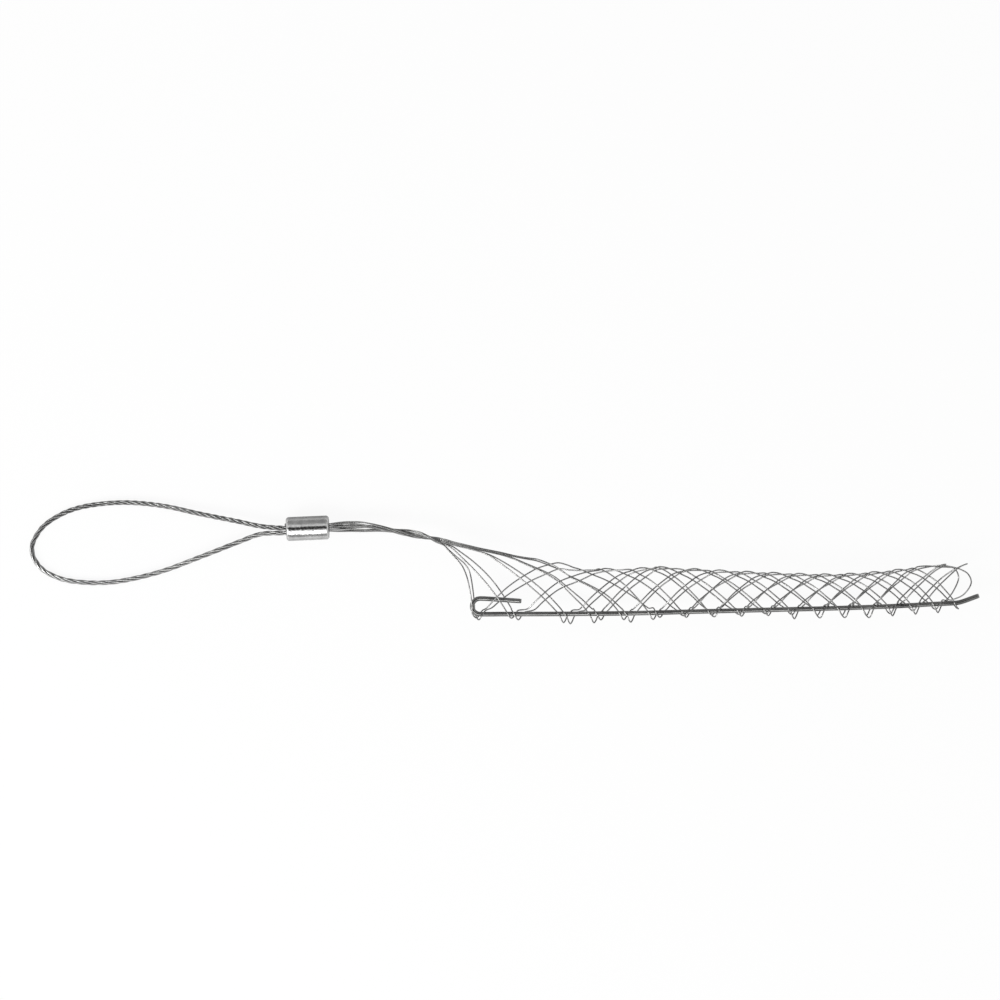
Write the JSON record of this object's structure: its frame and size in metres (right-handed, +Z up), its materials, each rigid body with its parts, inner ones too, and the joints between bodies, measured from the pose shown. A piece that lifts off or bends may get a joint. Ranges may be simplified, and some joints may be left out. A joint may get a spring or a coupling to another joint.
{
  "type": "cable pulling grip",
  "caption": "Flexible-eye wire mesh pulling grip: a split mesh tube laced shut on a steel rod, a pressed ferrule and a wire rope pulling eye.",
  "frame": {"origin": "under the middle of the grip's bounding box, on the floor it lies on", "axes": "+X along the grip from the pulling eye to the open tail of the mesh, +Y from the closing rod towards the ridge of the mesh, +Z up from the floor it lies on"},
  "size_m": [0.4752, 0.062, 0.0225],
  "materials": {
    "rope_steel": "galvanised steel wire rope, dull grey",
    "ferrule_steel": "pressed steel sleeve, plated and polished, lightly scratched",
    "rod_steel": "drawn steel rod, dark grey",
    "mesh_steel": "galvanised stranded steel wire"
  },
  "bodies": {
    "root": {"eye_rope": "rope_steel", "ferrule": "ferrule_steel", "closing_rod": "rod_steel", "mesh_strand_1": "mesh_steel", "mesh_strand_2": "mesh_steel", "mesh_strand_3": "mesh_steel", "mesh_strand_4": "mesh_steel", "mesh_strand_5": "mesh_steel"}
  },
  "joints": []
}
